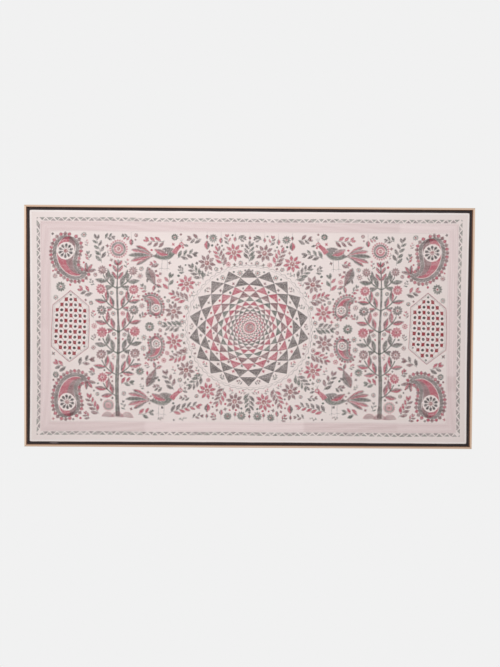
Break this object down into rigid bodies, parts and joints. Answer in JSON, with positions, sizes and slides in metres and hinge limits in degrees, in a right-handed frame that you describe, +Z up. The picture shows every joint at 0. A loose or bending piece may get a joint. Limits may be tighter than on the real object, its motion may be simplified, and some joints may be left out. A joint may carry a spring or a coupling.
{
  "type": "nakshi kantha wall hanging in a wooden frame",
  "caption": "Quilted and embroidered nakshi kantha cloth lying flat on a black board in a thin pale wooden frame, to hang on a wall.",
  "frame": {"origin": "middle of the top rail's back face, where the frame is fixed to the wall", "axes": "+X to the right along the top rail, +Y back to the wall, +Z up; the cloth faces -Y"},
  "size_m": [1.5, 0.03, 0.806],
  "materials": {
    "pale_wood": "clear satin",
    "black_board": "matt black cotton on board",
    "rose_cotton": "soft cotton with running stitches"
  },
  "bodies": {
    "root": {"rail_top": "pale_wood", "rail_right": "pale_wood", "rail_bottom": "pale_wood", "rail_left": "pale_wood", "backing_board": "black_board", "kantha_cloth": "rose_cotton"}
  },
  "joints": []
}
